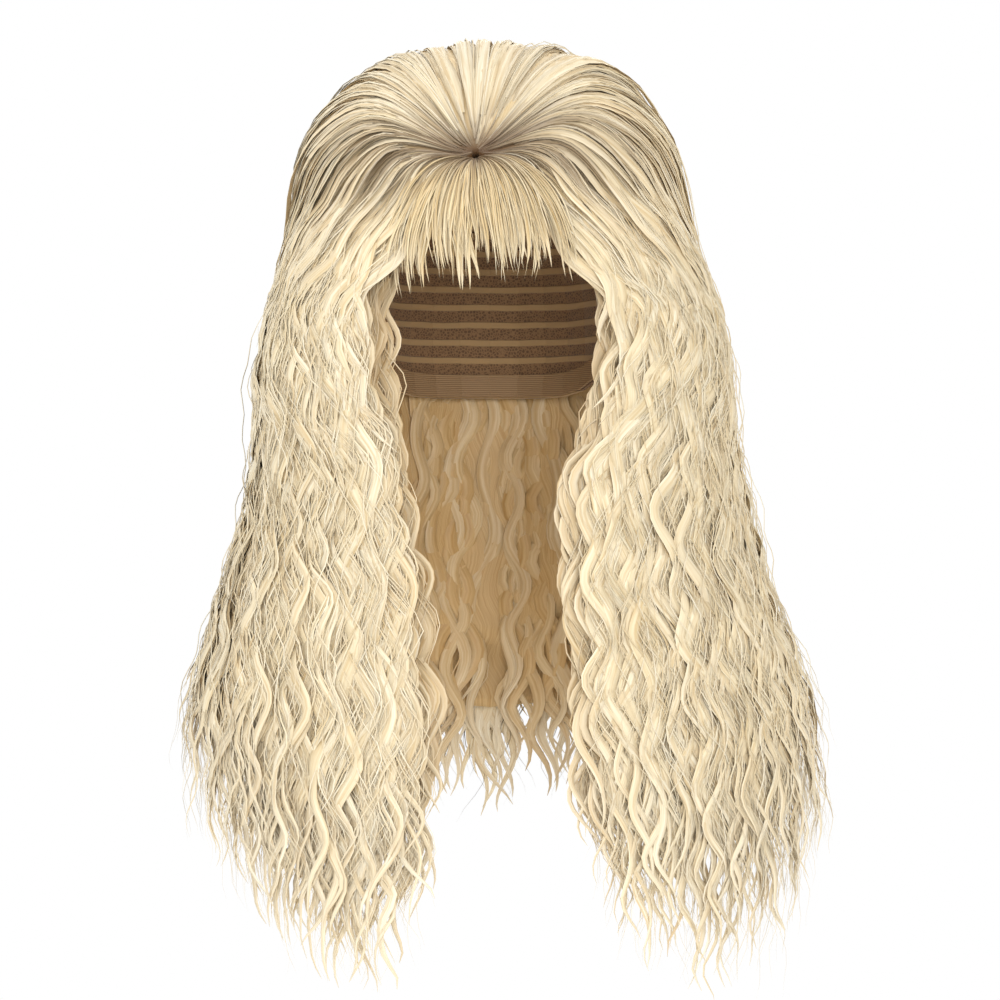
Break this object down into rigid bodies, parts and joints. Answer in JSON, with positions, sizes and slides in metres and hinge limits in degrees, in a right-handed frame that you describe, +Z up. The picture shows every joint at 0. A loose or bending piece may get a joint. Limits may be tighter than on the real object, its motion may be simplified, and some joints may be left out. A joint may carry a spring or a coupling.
{
  "type": "long teased wig",
  "caption": "Long platinum wig with a rounded teased crown, a short see-through fringe and crimped falls beside the face, on a net cap with an elastic edge.",
  "frame": {"origin": "the inside top of the cap, where the crown of the head sits", "axes": "+Z up as worn, the face looks along -Y, and +X is the wearer's left"},
  "size_m": [0.3753, 0.2565, 0.5752],
  "materials": {
    "blonde_hair": "silky synthetic fibre, teased and crimped, with darker roots",
    "honey_hair": "the same fibre, darker, under and behind",
    "cap_net": "knitted net with sewn rows of weft",
    "elastic": "woven elastic tape"
  },
  "bodies": {
    "root": {"cap": "cap_net", "edge_band": "elastic", "crown_hair": "blonde_hair", "fringe": "blonde_hair", "front_hair_left": "blonde_hair", "front_hair_right": "blonde_hair", "side_hair_left": "blonde_hair", "side_hair_right": "blonde_hair", "back_hair": "honey_hair"}
  },
  "joints": []
}
